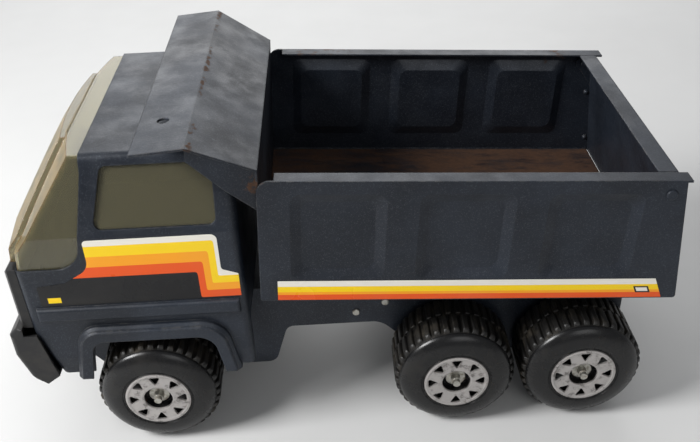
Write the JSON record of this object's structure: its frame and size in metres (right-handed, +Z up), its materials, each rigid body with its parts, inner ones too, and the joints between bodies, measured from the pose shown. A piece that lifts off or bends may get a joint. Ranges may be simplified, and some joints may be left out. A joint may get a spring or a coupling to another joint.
{
  "type": "toy dump truck",
  "caption": "Toy dump truck: pressed cab over a channel chassis, hinged tipping bed with cab canopy and swinging tailgate, tandem rear axles and free-spinning wheels.",
  "frame": {"origin": "middle of the truck's overall box, on the ground under the tyres", "axes": "+X rearwards from the bumper to the tailgate, +Y to the truck's right seen from its own driver's seat facing forwards, +Z up"},
  "size_m": [0.3345, 0.17, 0.1805],
  "materials": {
    "charcoal_enamel": "metallic charcoal enamel, chipped and rusted at the edges",
    "clear_window": "clear plastic, yellowed",
    "black_plastic": "moulded, satin",
    "tyre_plastic": "moulded black, dusty tread",
    "hub_silver": "silver paint, worn",
    "zinc_steel": "dull zinc",
    "bed_sticker": "printed vinyl stripes",
    "cab_sticker": "printed vinyl stripes and a plain black panel"
  },
  "bodies": {
    "chassis": {"cab_shell": "charcoal_enamel", "window_insert": "clear_window", "grille_bumper": "black_plastic", "cab_rivets": "zinc_steel", "chassis_frame": "charcoal_enamel", "frame_crossmember": "charcoal_enamel", "frame_rivets": "zinc_steel", "bed_rest": "charcoal_enamel", "hinge_rod": "zinc_steel", "hinge_push_nuts": "zinc_steel", "axle_push_nuts": "zinc_steel", "front_axle": "zinc_steel", "middle_axle": "zinc_steel", "rear_axle": "zinc_steel", "cab_stripe_left": "cab_sticker", "cab_stripe_right": "cab_sticker"},
    "bed": {"bed_body": "charcoal_enamel", "bed_canopy": "charcoal_enamel", "bed_hinge_bracket": "charcoal_enamel", "tailgate_pins": "zinc_steel", "bed_stripe_left": "bed_sticker", "bed_stripe_right": "bed_sticker"},
    "tailgate": {"tailgate": "charcoal_enamel"},
    "front_left_wheel": {"wheel_front_left": "tyre_plastic", "hub_disc_front_left": "hub_silver"},
    "front_right_wheel": {"wheel_front_right": "tyre_plastic", "hub_disc_front_right": "hub_silver"},
    "middle_left_wheel": {"wheel_middle_left": "tyre_plastic", "hub_disc_middle_left": "hub_silver"},
    "middle_right_wheel": {"wheel_middle_right": "tyre_plastic", "hub_disc_middle_right": "hub_silver"},
    "rear_left_wheel": {"wheel_rear_left": "tyre_plastic", "hub_disc_rear_left": "hub_silver"},
    "rear_right_wheel": {"wheel_rear_right": "tyre_plastic", "hub_disc_rear_right": "hub_silver"}
  },
  "joints": [
    {"name": "bed_tip", "type": "hinge", "parent": "chassis", "child": "bed", "pos_m": [0.14439, 0, 0.07007], "axis": [0, 1, 0], "range_deg": [0, 50]},
    {"name": "tailgate_swing", "type": "hinge", "parent": "bed", "child": "tailgate", "pos_m": [0.15555, 0, 0.13903], "axis": [0, -1, 0], "range_deg": [0, 80]},
    {"name": "front_left_spin", "type": "hinge", "parent": "chassis", "child": "front_left_wheel", "pos_m": [-0.09825, 0, 0.032], "axis": [0, 1, 0], "continuous": true},
    {"name": "front_right_spin", "type": "hinge", "parent": "chassis", "child": "front_right_wheel", "pos_m": [-0.09825, 0, 0.032], "axis": [0, 1, 0], "continuous": true},
    {"name": "middle_left_spin", "type": "hinge", "parent": "chassis", "child": "middle_left_wheel", "pos_m": [0.05825, 0, 0.032], "axis": [0, 1, 0], "continuous": true},
    {"name": "middle_right_spin", "type": "hinge", "parent": "chassis", "child": "middle_right_wheel", "pos_m": [0.05825, 0, 0.032], "axis": [0, 1, 0], "continuous": true},
    {"name": "rear_left_spin", "type": "hinge", "parent": "chassis", "child": "rear_left_wheel", "pos_m": [0.12525, 0, 0.032], "axis": [0, 1, 0], "continuous": true},
    {"name": "rear_right_spin", "type": "hinge", "parent": "chassis", "child": "rear_right_wheel", "pos_m": [0.12525, 0, 0.032], "axis": [0, 1, 0], "continuous": true}
  ]
}
